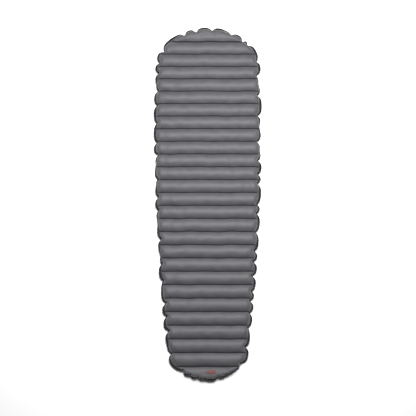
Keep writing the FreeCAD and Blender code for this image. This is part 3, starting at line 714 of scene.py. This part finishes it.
def nylon(name, cloth, worn, weld, roughness):
    """Coated plain-weave nylon, duller where it is welded; darker along the seams' welds, partly their own
    colour and partly painted shade in the grooves, with broader painted shade beside them, and darker on
    the rim's flange as a dark outline.
    """
    material, surface, shade = start_material(
        name, roughness, Sheen_Weight=0.12, Sheen_Roughness=0.4, Specular_IOR_Level=0.35
    )
    place, (x, y, _) = place_of(shade)
    mottle = noise(place, 45 * MM, 3.0)
    fine = noise(place, 3 * MM, 2.0)
    colour = mix(ease(mottle * 0.7 + fine * 0.3, 0.3, 0.7), cloth, worn)
    beside_weld = layer(shade, "weld")
    weld_line_and_shade = ease(beside_weld, 0.15, 0.65)
    rim = ease(layer(shade, "inset"), RIM_WIDTH - 2 * MM, RIM_WIDTH + 3.5 * MM, 1, 0)
    welded = weld_line_and_shade.do("MAXIMUM", rim)
    # painted shade: a broad darkening toward the weld colour beside the seams' welds, for the shade in the
    # grooves between the baffles
    colour = mix(ease(beside_weld, 0, 0.7, 0, 0.5), colour, weld)
    # the weld colour on the seams' weld lines is partly their own dark colour and partly painted shade in
    # the grooves; on the rim's flange it makes a dark outline
    colour = mix(welded, colour, weld)
    threads = thread(x, THREAD) * thread(y, THREAD)
    creases = noise(place, 14 * MM, 4.0, (1, 0.45, 1))
    feed(surface, "Roughness", roughness + 0.1 * mottle + 0.3 * welded)
    bump(surface, threads * 0.035 * (1 - 0.7 * welded) + creases, 0.5 * MM)
    return material, surface, colour


def upper_nylon():
    # the third colour darkens the seams' welds, partly as their own colour and partly as painted shade in
    # the grooves, and the rim's flange as a dark outline
    material, surface, colour = nylon(
        "upper nylon, dark grey", grey(0.062, 0.08), grey(0.075, 0.08), grey(0.006, 0.1), 0.55
    )
    _, (x, y, _) = place_of(colour)
    across = ((x - MARK[0]).do("ABSOLUTE") - MARK_HALF).do("MAXIMUM", 0)
    along = y - MARK[1]
    reach = (across * across + along * along).do("SQRT")
    printed = ease(reach, MARK_ROUND - 0.4 * MM, MARK_ROUND + 0.4 * MM, 0.9, 0)
    feed(surface, "Base Color", mix(printed, colour, RUST))
    return material


def lower_nylon():
    # the third colour darkens the seams' welds, partly as their own colour and partly as painted shade in
    # the grooves, and the rim's flange as a dark outline
    material, surface, colour = nylon(
        "lower nylon, black", grey(0.016, 0.1), grey(0.024, 0.1), grey(0.008, 0.1), 0.5
    )
    feed(surface, "Base Color", colour)
    return material


def moulded(name, colour, roughness):
    """Moulded plastic with a fine spark-eroded grain."""
    material, surface, shade = start_material(name, roughness, Specular_IOR_Level=0.45)
    place, _ = place_of(shade)
    grain = noise(place, 0.35 * MM, 3.0)
    cloud = noise(place, 6 * MM, 3.0)
    worn = tuple(min(1, 1.5 * c + 0.01) for c in colour[:3]) + (1,)
    feed(surface, "Base Color", mix(ease(cloud, 0.35, 0.75), colour, worn))
    feed(surface, "Roughness", roughness + 0.15 * cloud - 0.08)
    bump(surface, grain, 0.04 * MM)
    return material


def rubber(name, colour):
    material, surface, shade = start_material(name, 0.7, Specular_IOR_Level=0.3, Sheen_Weight=0.1)
    place, _ = place_of(shade)
    dust = noise(place, 2.5 * MM, 4.0)
    feed(surface, "Base Color", mix(ease(dust, 0.5, 0.8), colour, grey(0.12)))
    feed(surface, "Roughness", 0.62 + 0.2 * dust)
    bump(surface, noise(place, 0.8 * MM, 3.0), 0.05 * MM)
    return material


def steel(name):
    """Drawn stainless steel, with fine scratches along it."""
    material, surface, shade = start_material(name, 0.3, Metallic=1.0)
    place, _ = place_of(shade)
    scratches = noise(place, 0.5 * MM, 3.0, (1, 6, 1))
    feed(surface, "Base Color", mix(scratches, grey(0.5, 0.03), grey(0.7, 0.02)))
    feed(surface, "Roughness", 0.22 + 0.25 * scratches)
    bump(surface, scratches, 0.02 * MM)
    return material


def metal_film(name):
    """Thin film with a vapour-metal face, crinkled between its welds."""
    material, surface, shade = start_material(name, 0.25, Metallic=0.9)
    place, _ = place_of(shade)
    crinkle = noise(place, 9 * MM, 4.0, (1, 0.5, 1))
    feed(surface, "Base Color", mix(crinkle, grey(0.62, 0.03), grey(0.78, 0.02)))
    feed(surface, "Roughness", 0.15 + 0.3 * crinkle)
    bump(surface, crinkle, 0.4 * MM)
    return material


def coated_patch(name):
    """The ring of coated fabric welded over the lower sheet around the valve."""
    material, surface, shade = start_material(name, 0.45, Specular_IOR_Level=0.4, Sheen_Weight=0.1)
    place, (x, y, _) = place_of(shade)
    cloud = noise(place, 5 * MM, 3.0)
    feed(surface, "Base Color", mix(ease(cloud, 0.35, 0.7), grey(0.02, 0.1), grey(0.035, 0.1)))
    feed(surface, "Roughness", 0.38 + 0.2 * cloud)
    bump(surface, thread(x, THREAD) * thread(y, THREAD) * 0.1 + cloud, 0.15 * MM)
    return material


def finish_node(material, *nodes):
    for name in nodes:
        for slot in frame["nodes"][name].material_slots:
            slot.material = material


def make_pad():
    shell = Shell()
    points = blow_up(shell)
    points = rest_on_ground(even_rim(shell, points))
    upper = make_sheet("upper_sheet", shell, points, True)
    lower = make_sheet("lower_sheet", shell, points, False)
    fit_valve_seat(lower)
    upper.data.materials.append(upper_nylon())
    lower.data.materials.append(lower_nylon())
    for sheet, node in ((upper, "top_sheet"), (lower, "bottom_sheet")):
        rounder = sheet.modifiers.new("rounder", "SUBSURF")
        rounder.levels = 1
        rounder.render_levels = 1
        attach(sheet, "pad")
        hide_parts(node)


def coil_points():
    """Rings of points round the spring's wire, from its foot up."""
    side = np.cross(VALVE_AXIS, (0, 0, 1))
    side /= np.linalg.norm(side)
    rise = np.cross(VALVE_AXIS, side)
    points = []
    for i in range(SPRING_STEPS + 1):
        turn = math.pi + 2 * math.pi * SPRING_TURNS * i / SPRING_STEPS
        out = math.cos(turn) * side + math.sin(turn) * rise
        height = SPRING_FOOT + (SPRING_TOP - SPRING_FOOT) * i / SPRING_STEPS
        middle = VALVE + height * VALVE_AXIS + SPRING_RADIUS * out
        for k in range(WIRE_CORNERS):
            around = 2 * math.pi * k / WIRE_CORNERS
            wire = math.cos(around) * out + math.sin(around) * VALVE_AXIS
            points.append(middle + SPRING_WIRE * wire)
    return points


def coil_faces():
    faces = []
    for i in range(SPRING_STEPS):
        for k in range(WIRE_CORNERS):
            this = i * WIRE_CORNERS + k
            beside = i * WIRE_CORNERS + (k + 1) % WIRE_CORNERS
            faces.append([this, this + WIRE_CORNERS, beside + WIRE_CORNERS, beside])
    faces.append(list(range(WIRE_CORNERS)))
    faces.append([SPRING_STEPS * WIRE_CORNERS + k for k in reversed(range(WIRE_CORNERS))])
    return faces


def make_spring():
    """The coil between the spider and the washer, which shortens as the washer is pushed in."""
    spring = new_piece("closing_spring", coil_points(), coil_faces())
    spring.data.materials.append(steel("spring wire"))
    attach(spring, "pad")
    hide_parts("return_spring")
    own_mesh(spring)


def finish_valve_and_core():
    film = metal_film("metallised film")
    black = moulded("valve plastic, black", grey(0.025, 0.05), 0.5)
    finish_node(film, "upper_truss_film", "middle_film", "lower_truss_film")
    finish_node(coated_patch("patch, black"), "valve_patch_ring")
    finish_node(black, "valve_body", "poppet", "retaining_ring")
    finish_node(moulded("knob plastic, grey", grey(0.11, 0.06), 0.45), "wing_knob")
    finish_node(rubber("seal rubber", grey(0.03)), "poppet_seal")
    finish_node(steel("ground steel"), "cross_pin", "spring_washer")


def lay_floor():
    turns = [2 * math.pi * i / FLOOR_POINTS for i in range(FLOOR_POINTS)]
    ring = [(FLOOR * math.cos(turn), FLOOR_MIDDLE + FLOOR * math.sin(turn), 0) for turn in turns]
    floor = new_piece("floor", ring, [list(range(FLOOR_POINTS))])
    material, surface, shade = start_material("pale floor", 0.9, Specular_IOR_Level=0.1)
    place, _ = place_of(shade)
    feed(surface, "Base Color", mix(noise(place, 0.4), grey(0.88), grey(0.9)))
    floor.data.materials.append(material)


def soft_light(name, place, aim, size, power):
    lamp = bpy.data.lights.new(name, "AREA")
    lamp.shape = "DISK"
    lamp.size = size
    lamp.energy = power
    holder = bpy.data.objects.new(name, lamp)
    holder.location = place
    holder.rotation_euler = (Vector(aim) - Vector(place)).to_track_quat("-Z", "Y").to_euler()
    bpy.context.scene.collection.objects.link(holder)


def light_studio():
    world = bpy.data.worlds.new("studio")
    bpy.context.scene.world = world
    world.use_nodes = True
    backdrop = world.node_tree.nodes["Background"]
    backdrop.inputs["Color"].default_value = (1, 1, 1, 1)
    seen = Shade(world.node_tree).node("ShaderNodeLightPath", {}, {}, "Is Camera Ray")
    feed(backdrop, "Strength", seen * (1 - FILL) + FILL)
    soft_light("key", place=(0.1, 0.58, 2.6), aim=(0, 0.2, 0), size=0.8, power=150)
    bpy.context.scene.view_settings.view_transform = "Standard"


def place_camera():
    camera = bpy.data.cameras.new("camera")
    camera.lens = 50
    camera.sensor_width = 36
    holder = bpy.data.objects.new("camera", camera)
    away = Vector((0, -math.sin(CAMERA_TILT), math.cos(CAMERA_TILT)))
    holder.location = CAMERA_AIM + CAMERA_AWAY * away
    holder.rotation_euler = (CAMERA_TILT, 0, 0)
    bpy.context.scene.collection.objects.link(holder)
    bpy.context.scene.camera = holder


make_pad()
make_spring()
finish_valve_and_core()
lay_floor()
light_studio()
place_camera()
